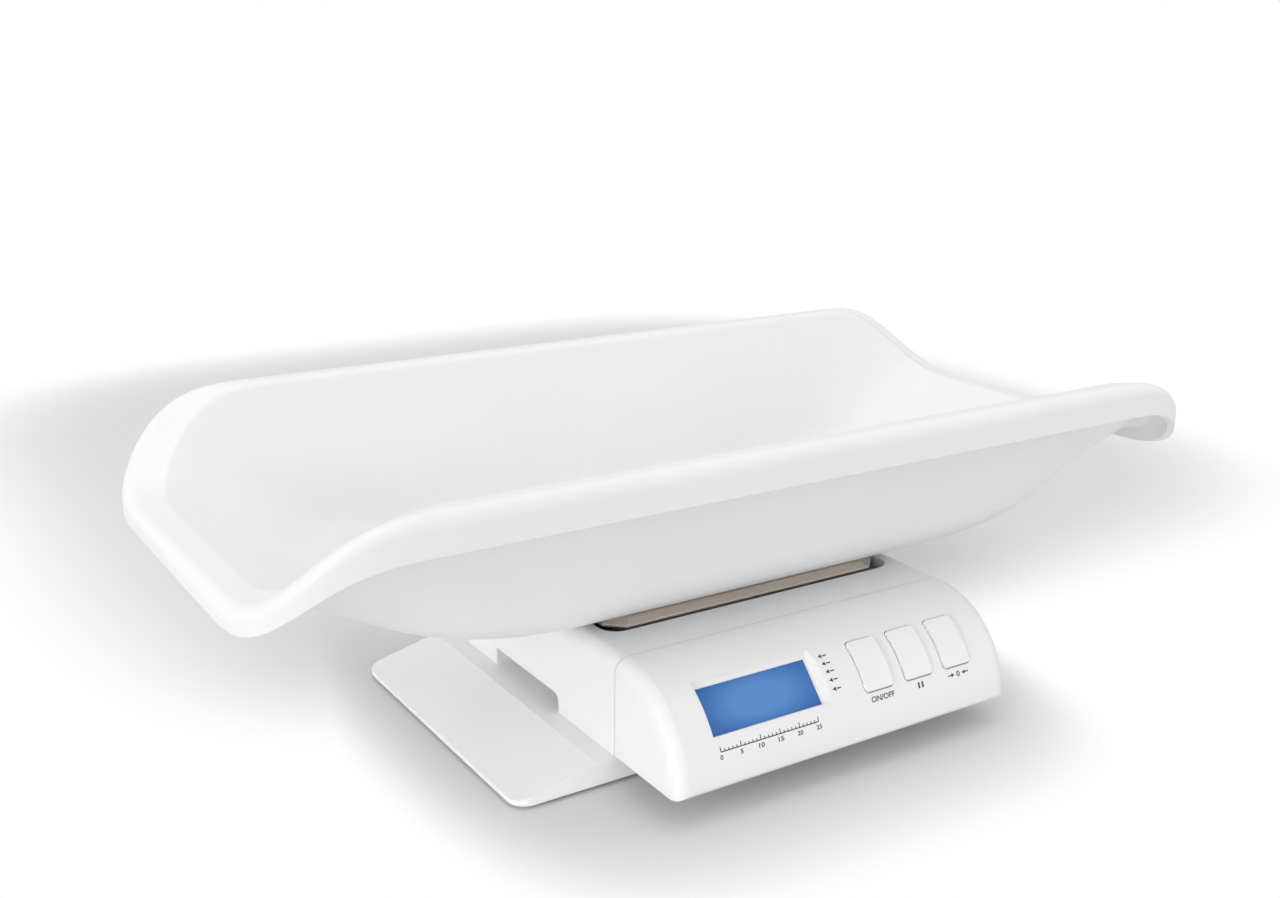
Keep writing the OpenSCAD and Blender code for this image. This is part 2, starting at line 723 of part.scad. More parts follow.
module console_bottom() {
    e = body_wall + fit;
    z1 = console_b + body_wall;
    t = 1.6;
    color("gainsboro") at_axis() difference() {
        union() {
            intersection() {
                slab(-body_w / 2 + e, body_w / 2 - e, console_cy - console_r, -seam_d - 0.6, console_b, z1);
                console_block(e, -seam_d);
            }
            slab(-box_l / 2 - t, box_l / 2 + t, box_y0 - t, box_y1 + t, console_b, box_top + t);
            for (p = foot_post)
                translate([p[0], p[1], console_b]) cylinder(r = 4.4, h = body_wall);
        }
        slab(-box_l / 2, box_l / 2, box_y0, box_y1, 0, box_top);
        // ledge cleared for the hinge tabs of the door
        both_x(tab_x) slab(-6, 6, box_y1 - 1, box_y1 + t + 1, console_b + door_t, z1 + 3);
        for (p = foot_post) {
            translate([p[0], p[1], 0]) cylinder(r = 1.7, h = 40);
            translate([p[0], p[1], 0]) cylinder(r = 3.1, h = console_b + 1.4);
        }
        for (y = [box_y0 + 8, box_y1 - 8])
            translate([box_l / 2 - 1, y, box_top - 5.2]) rotate([0, 90, 0]) cylinder(r = 1.3, h = 5);
    }
}

module bottom_screws() {
    color("silver") at_axis() for (p = foot_post)
        translate([p[0], p[1], console_b + 1.4]) screw(small_r, 10, 2.8, 1.2);
}

module console_screws() {
    color("silver") at_axis() both_x(join_x)
        translate([0, -seam_d + body_wall, join_z]) rotate([90, 0, 0])
            screw(small_r, 9, 3, 2);
}

module display_lens() {
    color("royalblue") at_axis()
        face_box(lens_x, lcd_w + 4, lcd_h + 4, 0, lens_d - lens_t, lens_d);
}

module lcd_panel() {
    color("steelblue") at_axis()
        face_box(lens_x, lcd_w + 3, lcd_h + 3, 0, lens_d - lens_t - 3, lens_d - lens_t);
}

module lcd_holder() {
    color("ivory") at_axis() difference() {
        face_box(lens_x, lcd_w + 5, lcd_h + 5, 0, board_d + board_t, lens_d - lens_t - 3);
        face_box(lens_x, lcd_w - 4, lcd_h - 4, 0, board_d, lens_d - lens_t - 4.2);
    }
}

module main_board() {
    color("seagreen") at_axis() difference() {
        union() {
            face_box((board_x0 + board_x1) / 2, board_x1 - board_x0, board_hi - board_lo,
                (board_hi + board_lo) / 2, board_d, board_d + board_t);
            face_box(lens_x + 21, 14, 14, 6, board_d - 2, board_d + 0.1);
            face_box(button_x0, 10, 6, 14, board_d - 3, board_d + 0.1);
            face_box(button_x0 + button_pitch, 18, 7, 2, board_d - 2.5, board_d + 0.1);
        }
        for (p = board_post)
            on_face(p[0], board_d - 4, p[1]) cylinder(r = 1.2, h = 8);
    }
}

module board_screws() {
    color("silver") at_axis() for (p = board_post)
        on_face(p[0], board_d, p[1]) screw(board_r, 6.5, 2.2, 1.4);
}

module tact_switches() {
    color("black") at_axis() for (k = [0 : 2]) {
        face_box(button_x0 + k * button_pitch, 12, 12, 0, board_d + board_t, switch_top - 0.6);
        on_face(button_x0 + k * button_pitch, board_d + board_t, 0)
            cylinder(r = 3.2, h = switch_top - board_d - board_t);
    }
}

module button(k) {
    color("white") at_axis() {
        intersection() {
            button_prism(k, 0, button_d + 2, 60);
            translate([0, console_cy, console_z]) rotate([0, 90, 0])
                cylinder(r = console_r + button_proud, h = 2 * body_w, center = true, $fn = 96);
        }
        intersection() {
            on_face(button_x0 + k * button_pitch, button_d, 0)
                linear_extrude(10) round_rect(button_w + 3.6, button_h + 3.6, 2.2);
            translate([0, console_cy, console_z]) rotate([0, 90, 0])
                cylinder(r = console_in - 0.15, h = 2 * body_w, center = true, $fn = 96);
        }
        on_face(button_x0 + k * button_pitch, button_d - 1, 0) cylinder(r = 3, h = 1.2);
    }
}

module power_button() {
    button(0);
}

module hold_button() {
    button(1);
}

module tare_button() {
    button(2);
}

module battery_door() {
    color("gainsboro") at_axis() {
        top = console_b + door_t;
        slab(-box_l / 2 + slip, box_l / 2 - slip, box_y0 + slip, box_y1 - slip, console_b, top);
        both_x(tab_x) slab(-5, 5, box_y1 - 3, box_y1 + 1.4, top + 0.2, top + 1.2);
        both_x(tab_x) slab(-5, 5, box_y1 - 3, box_y1 - 1.5, top - 0.1, top + 1.2);
        slab(-8, 8, box_y0 + slip, box_y0 + 1.5, console_b + 1, top + 1.5);
    }
}

module batteries() {
    zc = console_b + door_t + 0.3 + cell_d / 2;
    color("goldenrod") at_axis() for (x = [-1, 1], r = [0, 1]) {
        yc = (box_y0 + box_y1) / 2 + (r == 0 ? -1 : 1) * (cell_d / 2 + 0.3);
        dir = r == 0 ? 1 : -1;
        translate([x * (cell_l / 2 + 0.15) - dir * cell_l / 2, yc, zc]) rotate([0, dir * 90, 0]) {
            cylinder(r = cell_d / 2, h = cell_l - 1.4);
            cylinder(r = 2.7, h = cell_l);
        }
    }
}

module battery_contacts() {
    zc = console_b + door_t + 0.3 + cell_d / 2;
    x1 = box_l / 2;
    color("silver") at_axis() for (k = [-1, 1], r = [-1, 1]) {
        yc = (box_y0 + box_y1) / 2 + r * (cell_d / 2 + 0.3);
        lo = k > 0 ? x1 - 0.5 : -x1;
        slab(lo, lo + 0.5, yc - 6, yc + 6, zc - 6, zc + 6);
        in = cell_l + 0.15;
        slab(k > 0 ? in : -x1, k > 0 ? x1 : -in, yc - 2, yc + 2, zc - 0.3, zc + 0.3);
    }
}

module battery_leads() {
    color("firebrick") at_axis() for (r = [0, 1]) {
        y = r == 0 ? box_y0 + 8 : box_y1 - 8;
        z = box_top - 5.2;
        lead([[box_l / 2 + 1, y, z], [box_l / 2 + 5, y, z], [box_l / 2 + 8, y, z + 6],
            face_pt(box_l / 2 + 4, board_d - 3, r == 0 ? -5 : 17)], 0.9);
    }
}

module power_inlet() {
    x1 = body_w / 2;
    color("black") at_axis() difference() {
        union() {
            translate([x1 - 11, inlet_y, inlet_z]) rotate([0, 90, 0]) cylinder(r = 4.4, h = 10.6);
            slab(x1 - 16, x1 - body_wall, inlet_y - 5.5, inlet_y + 5.5, inlet_z - 5.5, inlet_z + 5.5);
        }
        difference() {
            translate([x1 - 9, inlet_y, inlet_z]) rotate([0, 90, 0]) cylinder(r = 2.8, h = 20);
            translate([x1 - 10, inlet_y, inlet_z]) rotate([0, 90, 0]) cylinder(r = 1, h = 8);
        }
    }
}

// ---------------------------------------------------------------- tray
// Slope of the wall that is tangent to the foot arc and to the arc under the lip.
function wall_angle(d, s) = atan2(d[1], d[0]) + asin(s / norm(d));

// Largest foot radius that still leaves a straight wall in a given run and rise.
function foot_limit(run, rise) = (run * run + rise * rise - lip_in_r * lip_in_r) / (2 * (rise + lip_in_r));

// One half section from the floor over the lip, as [reach, height] pairs.
// t is the depth inside the wall.
function half_section(half, flat, foot_r, crown, top, rim, drop, t) =
    let (c1 = [half - crown - top, rim - lip_in_r])
    let (limit = foot_limit(c1[0] - flat, c1[1] - tray_z - tray_wall))
    let (foot = min(foot_r, 0.97 * limit))
    let (c0 = [flat, tray_z + tray_wall + foot])
    let (c2 = [half - crown, rim - crown])
    let (wa = wall_angle(c1 - c0, foot + lip_in_r))
    let (p0 = c0 + (foot + t) * [sin(wa), -cos(wa)])
    let (p1 = c1 - (lip_in_r - t) * [sin(wa), -cos(wa)])
    concat(
        [for (i = [0 : foot_n]) let (a = wa * i / foot_n) c0 + (foot + t) * [sin(a), -cos(a)]],
        [for (i = [1 : wall_n]) p0 + (p1 - p0) * i / wall_n],
        [for (i = [1 : turn_n])
            let (a = 90 + wa * (1 - i / turn_n)) c1 + (lip_in_r - t) * [cos(a), sin(a)]],
        [for (i = [0 : crown_n]) let (a = 90 * (1 - i / crown_n)) c2 + (crown - t) * [cos(a), sin(a)]],
        [for (i = [1 : drop_n]) [half - t, rim - crown - (drop - crown) * i / drop_n]]);

foot_n = 8;
wall_n = 5;
turn_n = 3;
crown_n = 6;
drop_n = 2;
corner_n = 16;
corner_power = 3.1;  // 2 is a round corner, higher is squarer
rise_power = 2.4;    // how late the rim climbs from end to side

// Ring of points for one level; the long sides rise above the ends through the corners.
function ring(e, s) =
    let (k = (e[0] - end_flat) / (tray_len / 2 - end_flat))
    let (r = floor_corner_r + (rim_corner_r - floor_corner_r) * max(0, min(1, k)))
    [for (q = [0 : 3], i = [0 : corner_n])
        let (f = 90 * i / corner_n)
        let (a = q % 2 == 0 ? f : 90 - f)
        let (m = pow(sin(a), rise_power))
        let (sx = q == 0 || q == 3 ? 1 : -1)
        let (sy = q < 2 ? 1 : -1)
        let (x = e[0] - r + r * pow(abs(cos(a)), 2 / corner_power))
        let (y = s[0] - r + r * pow(abs(sin(a)), 2 / corner_power))
        [sx * x, sy * y, e[1] + (s[1] - e[1]) * m]];

function end_section(t) =
    half_section(tray_len / 2, end_flat, end_foot_r, end_lip_r, end_lip_flat,
        end_rim_z, end_drop, t);
function side_section(t) =
    half_section(tray_width / 2, side_flat, side_foot_r, side_lip_r, side_lip_flat,
        side_rim_z, side_drop, t);

module baby_tray() {
    e_up = end_section(0);
    s_up = side_section(0);
    e_lo = end_section(tray_wall);
    s_lo = side_section(tray_wall);
    n = len(e_up);
    m = 4 * (corner_n + 1);
    up = [for (i = [0 : n - 1]) each ring(e_up[i], s_up[i])];
    lo = [for (i = [0 : n - 1]) each ring(e_lo[n - 1 - i], s_lo[n - 1 - i])];
    pts = concat(up, lo);
    rows = 2 * n;
    color("white") at_axis() polyhedron(points = pts, faces = concat(
        [[for (j = [0 : m - 1]) m - 1 - j]],
        [[for (j = [0 : m - 1]) (rows - 1) * m + j]],
        [for (i = [0 : rows - 2], j = [0 : m - 1], h = [0, 1])
            let (a = i * m + j, b = i * m + (j + 1) % m, c = (i + 1) * m + (j + 1) % m, d = (i + 1) * m + j)
            h == 0 ? [a, b, c] : [a, c, d]]), convexity = 8);
}

module tray_pads() {
    color("dimgray") at_axis() for (i = [-1, 1], j = [-1, 1])
        translate([i * pan_len * 0.32, pan_y + j * pan_depth * 0.29, pan_z])
            cylinder(r = 12, h = tray_z - pan_z);
}

plinth();
plinth_feet();
plinth_screws();
base_shell();
scale_feet();
top_housing();
housing_screws();
cell_plate();
plate_screws();
cell_block();
load_cell();
cell_screws();
stop_screws();
cell_lead();
platform_carrier();
carrier_block();
carrier_screws();
pan_pads();
platform_pan();
console_shell();
console_bottom();
console_screws();
bottom_screws();
display_lens();
lcd_panel();
lcd_holder();
main_board();
board_screws();
tact_switches();
battery_leads();
power_button();
hold_button();
tare_button();
battery_door();
batteries();
battery_contacts();
power_inlet();
baby_tray();
tray_pads();
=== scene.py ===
"""Studio scene for the digital baby scale.

It adds the finishes, a finer tray, the printed marks, the floor, the lights and the camera.

Units are metres. X runs along the tray, -Y faces the user, Z is up.
"""
import json
import math
from functools import partial

import bmesh
import bpy
from mathutils import Matrix, Vector


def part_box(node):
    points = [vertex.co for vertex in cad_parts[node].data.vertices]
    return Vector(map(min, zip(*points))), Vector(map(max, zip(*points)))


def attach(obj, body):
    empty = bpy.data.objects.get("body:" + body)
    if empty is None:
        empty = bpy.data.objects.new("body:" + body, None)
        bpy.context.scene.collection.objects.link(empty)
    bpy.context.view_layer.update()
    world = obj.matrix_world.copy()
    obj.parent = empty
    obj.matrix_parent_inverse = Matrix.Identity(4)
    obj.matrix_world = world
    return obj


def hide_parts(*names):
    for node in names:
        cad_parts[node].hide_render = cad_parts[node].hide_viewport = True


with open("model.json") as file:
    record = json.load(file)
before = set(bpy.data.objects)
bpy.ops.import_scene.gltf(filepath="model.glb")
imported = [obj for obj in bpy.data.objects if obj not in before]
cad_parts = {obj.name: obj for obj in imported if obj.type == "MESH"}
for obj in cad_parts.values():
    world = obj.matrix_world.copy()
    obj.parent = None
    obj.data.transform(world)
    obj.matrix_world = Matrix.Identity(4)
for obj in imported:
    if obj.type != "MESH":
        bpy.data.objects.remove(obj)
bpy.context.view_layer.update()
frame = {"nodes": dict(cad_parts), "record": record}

MM = 0.001

# ---------------------------------------------------------------- camera facts
FOCAL_PX = 1441.68
IMAGE_W = 1280
YAW = 33.012
PITCH = 16.396
ROLL = 0.6593
EYE = (-464.876, -669.593, 375.667)   # from the load axis, mm
AXIS_Y = 11.1                         # load axis behind the footprint's centre, mm

# ---------------------------------------------------------------- tray sizes, mm
TRAY_LEN = 600.0
TRAY_WIDTH = 282.4
TRAY_WALL = 3.0
TRAY_Z = 73.4
END = dict(half=TRAY_LEN / 2, flat=133.0, foot=190.0, crown=6.8, top=10.5, rim=131.0, drop=11.4)
SIDE = dict(half=TRAY_WIDTH / 2, flat=58.6, foot=39.0, crown=7.2, top=4.7, rim=176.6, drop=19.4)
LIP_IN_R = 6.0
RIM_CORNER_R = 80.0
FLOOR_CORNER_R = 66.0
CORNER_POWER = 3.1
RISE_POWER = 2.4

MIN_FLAT = 0.4                        # half of the straight kept between two corners

# ---------------------------------------------------------------- tray mesh, steps per run
FOOT_N = 22
WALL_N = 12
TURN_N = 8
TOP_N = 3
CROWN_N = 12
DROP_N = 3
CORNER_N = 56
SHARP_ANGLE = 35                      # degrees between faces that stay a crease

# ---------------------------------------------------------------- console's curved front, mm
CONSOLE_R = 53.8
CONSOLE_Y = -109.6                    # its axis, from the load axis
CONSOLE_Z = 16.0

# ---------------------------------------------------------------- printed marks, mm and degrees
INK = 0.05                            # half the slab's thickness
LABEL_ANGLE = 21.5                    # baseline of the row under the buttons
POWER_X, HOLD_X, TARE_X = 21.6, 48.5, 76.0
POWER_W, POWER_H = 16.0, 3.1
HOLD_REACH = 1.3                      # a hold bar's middle from HOLD_X
HOLD_W, HOLD_H = 1.2, 3.2
ZERO_W, ZERO_H = 2.4, 3.0
ARROW_REACH = 2.6                     # an arrow's tip from TARE_X
HEAD_LEN = 2.4
STEM_LEN = 2.6
POINTER_ANGLES = (53.7, 48.9, 44.0, 39.0, 33.8)
POINTER_TIP = -9.2
POINTER_RISE = 1.0                    # a pointer's middle over its angle
RULE_ANGLE = 20.6
RULE_LEFT, RULE_RIGHT = -84.5, -23.0
RULE_LINE = 0.55
RULE_STEPS = 25
RULE_LONG_EVERY = 5
TICK_W = 0.5
TICK_LONG, TICK_SHORT = 2.6, 1.3
DIGIT_W, DIGIT_H = 1.75, 2.4
DIGIT_DROP = 3.9                      # the numbers' baseline under the rule
GLYPH_STEPS = 5
GLYPH_WEIGHT = 0.018                  # outline offset that thickens the strokes

# ---------------------------------------------------------------- material facts
NOISE_SPAN = (0.35, 0.65)             # where most of a noise's values lie
METAL_DARK = 0.86                     # tone kept in the grain's grooves
PAPER_GRAIN = 0.995                   # tone kept in the paper's darker grain
DUST_LIFT = 0.05                      # how much paler the dust is on rubber
GLOW_REACH = (0.62, 0.9, 0.9)         # where the display's glow ends, as shares of the lens
GLOW = (
    (0.0, (0.024, 0.10, 0.30)),
    (0.25, (0.036, 0.13, 0.36)),
    (0.62, (0.072, 0.195, 0.46)),
)
# The plinth's paler white is painted light: a brighter copy of the body's white that lifts the
# plinth out of the shade under the tray.
OWN_FINISH = {"display_lens": "display_blue", "plinth": "plinth_lit_white"}

NODES = frame["nodes"]
MATERIALS = {}


# ---------------------------------------------------------------- helpers
def add_node(tree, kind, **values):
    n = tree.nodes.new(kind)
    for key, value in values.items():
        setattr(n, key, value)
    return n


def add_object(name, data):
    o = bpy.data.objects.new(name, data)
    bpy.context.scene.collection.objects.link(o)
    return o


def add_mesh(name, bm, material):
    """Makes an object of a bmesh, which it frees."""
    mesh = bpy.data.meshes.new(name)
    bm.to_mesh(mesh)
    bm.free()
    mesh.materials.append(material)
    return add_object(name, mesh)


class Surface:
    """A Principled material with a few node shortcuts."""

    def __init__(self, name):
        self.mat = bpy.data.materials.new(name)
        self.mat.use_nodes = True
        self.tree = self.mat.node_tree
        self.bsdf = self.tree.nodes["Principled BSDF"]
        self.coord = self.tree.nodes.new("ShaderNodeTexCoord").outputs["Object"]
        MATERIALS[name] = self.mat

    def node(self, kind, **values):
        return add_node(self.tree, kind, **values)

    def link(self, a, b):
        self.tree.links.new(a, b)

    def noise(self, scale, detail=3.0, rough=0.5, squeeze=None):
        """Noise of so many features per metre; squeeze multiplies them along each axis."""
        n = self.node("ShaderNodeTexNoise")
        n.inputs["Scale"].default_value = scale
        n.inputs["Detail"].default_value = detail
        n.inputs["Roughness"].default_value = rough
        source = self.coord
        if squeeze:
            m = self.node("ShaderNodeMapping")
            m.inputs["Scale"].default_value = squeeze
            self.link(source, m.inputs["Vector"])
            source = m.outputs["Vector"]
        self.link(source, n.inputs["Vector"])
        return n.outputs["Fac"]

    def spread(self, fac, low, high):
        """Maps a noise between two numbers."""
        n = self.node("ShaderNodeMapRange")
        n.inputs["From Min"].default_value = NOISE_SPAN[0]
        n.inputs["From Max"].default_value = NOISE_SPAN[1]
        n.inputs["To Min"].default_value = low
        n.inputs["To Max"].default_value = high
        self.link(fac, n.inputs["Value"])
        return n.outputs["Result"]

    def ramp(self, fac, stops):
        """Colour ramp through (position, (r, g, b)) stops."""
        n = self.node("ShaderNodeValToRGB")
        stops = list(stops)
        el = n.color_ramp.elements
        while len(el) < len(stops):
            el.new(0.5)
        for e, (at, colour) in zip(el, stops):
            e.position = at
            e.color = (*colour, 1.0)
        self.link(fac, n.inputs["Fac"])
        return n.outputs["Color"]

    def colour(self, socket):
        self.link(socket, self.bsdf.inputs["Base Color"])

    def rough(self, socket):
        self.link(socket, self.bsdf.inputs["Roughness"])

    def set(self, **values):
        for key, value in values.items():
            self.bsdf.inputs[key.replace("_", " ")].default_value = value

    def relief(self, height, strength, depth, edge=0.0):
        """Bump from a height, on top of edges rounded to a radius."""
        b = self.node("ShaderNodeBump")
        b.inputs["Strength"].default_value = strength
        b.inputs["Distance"].default_value = depth
        self.link(height, b.inputs["Height"])
        if edge:
            v = self.node("ShaderNodeBevel", samples=6)
            v.inputs["Radius"].default_value = edge
            self.link(v.outputs["Normal"], b.inputs["Normal"])
        self.link(b.outputs["Normal"], self.bsdf.inputs["Normal"])


def moulded(name, colour, rough, grain, depth, edge=0.0004, tint=0.02, spec=0.5):
    """Moulded plastic: a fine spark texture, soft cloudy tone and rounded edges."""
    s = Surface(name)
    cloud = s.noise(scale=14.0, detail=4.0)
    low = tuple(c * (1.0 - tint) for c in colour)
    s.colour(s.ramp(cloud, zip(NOISE_SPAN, (low, colour))))
    s.rough(s.spread(s.noise(scale=90.0), low=rough - 0.04, high=rough + 0.05))
    s.relief(s.noise(grain, detail=2.0, rough=0.6), strength=0.35, depth=depth, edge=edge)
    s.set(IOR=1.5, Specular_IOR_Level=spec)


def metal(name, colour, rough, streak=None, scale=900.0, edge=0.0003):
    """Bare metal, with a drawn grain where streak squeezes the noise."""
    s = Surface(name)
    grain = s.noise(scale, rough=0.6, squeeze=streak)
    dark = tuple(c * METAL_DARK for c in colour)
    s.colour(s.ramp(grain, [(0.3, dark), (0.7, colour)]))
    s.rough(s.spread(grain, low=rough - 0.06, high=rough + 0.08))
    s.relief(grain, strength=0.2, depth=0.00003, edge=edge)
    s.set(Metallic=1.0)


def rubber(name, colour):
    """Matt rubber with a little dust."""
    s = Surface(name)
    dust = s.noise(scale=160.0, detail=5.0, rough=0.65)
    lift = tuple(min(1.0, c + DUST_LIFT) for c in colour)
    s.colour(s.ramp(dust, [(0.4, colour), (0.75, lift)]))
    s.rough(s.spread(dust, low=0.7, high=0.9))
    s.relief(s.noise(scale=1800.0, detail=2.0), strength=0.4, depth=0.00008, edge=0.0004)
    s.set(Specular_IOR_Level=0.3)


def display():
    """Blue backlit window, paler toward its middle."""
    s = Surface("display_blue")
    lo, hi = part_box("display_lens")
    mid = (lo + hi) / 2
    m = s.node("ShaderNodeMapping", vector_type="TEXTURE")
    m.inputs["Location"].default_value = mid
    m.inputs["Scale"].default_value = [(b - a) * k for a, b, k in zip(lo, hi, GLOW_REACH)]
    s.link(s.coord, m.inputs["Vector"])
    g = s.node("ShaderNodeTexGradient", gradient_type="SPHERICAL")
    s.link(m.outputs["Vector"], g.inputs["Vector"])
    blue = s.ramp(g.outputs["Fac"], GLOW)
    s.colour(blue)
    s.link(blue, s.bsdf.inputs["Emission Color"])
    s.set(Emission_Strength=0.3, IOR=1.45, Specular_IOR_Level=0.3)
    s.rough(s.spread(s.noise(scale=240.0), low=0.3, high=0.4))
    s.relief(s.noise(scale=700.0, detail=2.0), strength=0.1, depth=0.00002)


def make_materials():
    """Every finish; grain and scale are features per metre, depth and edge metres."""
    body = dict(rough=0.42, grain=1500.0, depth=0.00006, spec=0.45)
    moulded("white_abs", (0.86, 0.86, 0.86), **body)
    # Painted light: the plinth is the body's white plastic, made paler here to lift it out of
    # the shade under the tray.
    moulded("plinth_lit_white", (0.93, 0.93, 0.93), **body)
    moulded("tray_white", (0.88, 0.88, 0.88),
            rough=0.34, grain=700.0, depth=0.00004, edge=0.0, spec=0.4)
    moulded("button_white", (0.88, 0.88, 0.88),
            rough=0.36, grain=1700.0, depth=0.00003, edge=0.0009)
    moulded("grey_abs", (0.74, 0.74, 0.73), rough=0.5, grain=1500.0, depth=0.00008)
    moulded("ivory_plastic", (0.78, 0.76, 0.68), rough=0.5, grain=1500.0, depth=0.00005)
    moulded("dark_plastic", (0.03, 0.03, 0.032),
            rough=0.42, grain=1500.0, depth=0.00004, tint=0.2)
    moulded("mark_ink", (0.075, 0.075, 0.08),
            rough=0.55, grain=2600.0, depth=0.00001, edge=0.0, tint=0.25, spec=0.3)
    moulded("lead_sheath", (0.035, 0.035, 0.035),
            rough=0.5, grain=1200.0, depth=0.00004, edge=0.0, tint=0.2)
    moulded("battery_jacket", (0.06, 0.07, 0.09),
            rough=0.3, grain=400.0, depth=0.00002, tint=0.2)
    moulded("board", (0.02, 0.16, 0.07), rough=0.4, grain=2400.0, depth=0.00004, tint=0.3)
    moulded("lcd_glass", (0.30, 0.38, 0.42), rough=0.15, grain=300.0, depth=0.00001)
    rubber("rubber", (0.03, 0.03, 0.03))
    metal("screw_steel", (0.62, 0.62, 0.62), rough=0.32)
    metal("plate_steel", (0.55, 0.56, 0.58), rough=0.45, scale=120.0)
    metal("alloy", (0.76, 0.77, 0.78), rough=0.3, streak=(60.0, 1.0, 1.0), scale=40.0)
    metal("cast_alloy", (0.60, 0.61, 0.62), rough=0.55, scale=1400.0)
    metal("pan_metal", (0.95, 0.88, 0.82),
          rough=0.42, streak=(1.0, 40.0, 40.0), scale=60.0, edge=0.0006)
    metal("contact_spring", (0.72, 0.72, 0.70), rough=0.28)
    display()


def dress_nodes():
    """Every CAD node takes the finish of its slot, or its own where it has one."""
    slot_of = {p["node"]: p["material_slot"] for p in frame["record"]["subparts"]}
    for name, o in NODES.items():
        o.data.materials.clear()
        o.data.materials.append(MATERIALS[OWN_FINISH.get(name, slot_of[name])])


# ---------------------------------------------------------------- tray
def half_section(half, flat, foot, crown, top, rim, drop, t):
    """Half section from the floor over the lip and down its drop, as (reach, height).

    It is offset outwards by t: 0 gives the inside and the wall's thickness the outside.
    """
    c0 = Vector((flat, TRAY_Z + TRAY_WALL + foot))
    c1 = Vector((half - crown - top, rim - LIP_IN_R))
    c2 = Vector((half - crown, rim - crown))
    d = c1 - c0
    # the wall is the common tangent of the foot's and the lip's arcs, at the angle wa
    wa = math.atan2(d.y, d.x) + math.asin((foot + LIP_IN_R) / d.length)
    side = Vector((math.sin(wa), -math.cos(wa)))
    p0 = c0 + (foot + t) * side
    p1 = c1 - (LIP_IN_R - t) * side
    pts = []
    for i in range(FOOT_N + 1):
        a = wa * i / FOOT_N
        pts.append(c0 + (foot + t) * Vector((math.sin(a), -math.cos(a))))
    for i in range(1, WALL_N + 1):
        pts.append(p0.lerp(p1, i / WALL_N))
    for i in range(1, TURN_N + 1):
        a = math.pi / 2 + wa * (1 - i / TURN_N)
        pts.append(c1 + (LIP_IN_R - t) * Vector((math.cos(a), math.sin(a))))
    start = pts[-1]
    for i in range(1, TOP_N + 1):
        pts.append(start.lerp(c2 + Vector((0.0, crown - t)), i / TOP_N))
    for i in range(1, CROWN_N + 1):
        a = math.pi / 2 * (1 - i / CROWN_N)
        pts.append(c2 + (crown - t) * Vector((math.cos(a), math.sin(a))))
    for i in range(1, DROP_N + 1):
        pts.append(Vector((half - t, rim - crown - (drop - crown) * i / DROP_N)))
    return pts


def tray_ring(e, s):
    """One level of the tray; the long sides rise above the ends through the corners.

    e and s are the (reach, height) of the end's and the side's section. The corner stays
    within the side's reach, so that no ring crosses itself.
    """
    k = (e.x - END["flat"]) / (END["half"] - END["flat"])
    r = FLOOR_CORNER_R + (RIM_CORNER_R - FLOOR_CORNER_R) * max(0.0, min(1.0, k))
    r = min(r, s.x - MIN_FLAT)
    ring = []
    for q in range(4):
        sx = 1 if q in (0, 3) else -1
        sy = 1 if q < 2 else -1
        for i in range(CORNER_N + 1):
            f = math.pi / 2 * i / CORNER_N
            a = f if q % 2 == 0 else math.pi / 2 - f
            m = abs(math.sin(a)) ** RISE_POWER
            x = sx * (e.x - r + r * abs(math.cos(a)) ** (2 / CORNER_POWER))
            y = sy * (s.x - r + r * abs(math.sin(a)) ** (2 / CORNER_POWER)) + AXIS_Y
            ring.append(Vector((x, y, e.y + (s.y - e.y) * m)) * MM)
    return ring


def make_tray():
    """A finer mesh of the baby_tray's formula, in its place."""
    bm = bmesh.new()
    levels = []
    inner = zip(half_section(**END, t=0.0), half_section(**SIDE, t=0.0))
    outer = zip(half_section(**END, t=TRAY_WALL), half_section(**SIDE, t=TRAY_WALL))
    for e, s in list(inner) + list(outer)[::-1]:
        levels.append([bm.verts.new(p) for p in tray_ring(e, s)])
    n = len(levels[0])
    bm.faces.new(levels[0][::-1])
    bm.faces.new(levels[-1])
    for a, b in zip(levels, levels[1:]):
        for j in range(n):
            k = (j + 1) % n
            bm.faces.new((a[j], a[k], b[k], b[j]))
    bmesh.ops.recalc_face_normals(bm, faces=bm.faces)
    tray = add_mesh("tray_shell", bm, MATERIALS["tray_white"])
    tray.data.shade_smooth()
    tray.data.set_sharp_from_angle(angle=math.radians(SHARP_ANGLE))
    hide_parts("baby_tray")
    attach(tray, "tray")


# ---------------------------------------------------------------- printed marks
def on_console(x, arc, lift):
    """Place on the curved front: x along it, arc up round it, lift off it, in mm."""
    a = arc / CONSOLE_R
    r = CONSOLE_R + lift
    return Vector((x, CONSOLE_Y + AXIS_Y - r * math.cos(a), CONSOLE_Z + r * math.sin(a))) * MM


def print_shape(bm, points):
    """A thin slab of ink with the given outline."""
    low = [bm.verts.new(on_console(x, arc, -INK)) for x, arc in points]
    top = [bm.verts.new(on_console(x, arc, INK)) for x, arc in points]
    bm.faces.new(low[::-1])
    bm.faces.new(top)
    for i in range(len(points)):
        j = (i + 1) % len(points)
        bm.faces.new((low[i], low[j], top[j], top[i]))


def print_bar(bm, x, arc, w, h):
    """A bar with its middle at x and arc."""
    corners = ((-1, -1), (1, -1), (1, 1), (-1, 1))
    print_shape(bm, [(x + i * w / 2, arc + j * h / 2) for i, j in corners])


def print_arrow(bm, tip, arc, way, half, stem_at, thick):
    """An arrow with its tip at x = tip and its head and stem on the side way of it."""
    back = tip + way * HEAD_LEN
    print_shape(bm, [(tip, arc), (back, arc - way * half), (back, arc + way * half)])
    print_bar(bm, tip + way * stem_at, arc, STEM_LEN, thick)


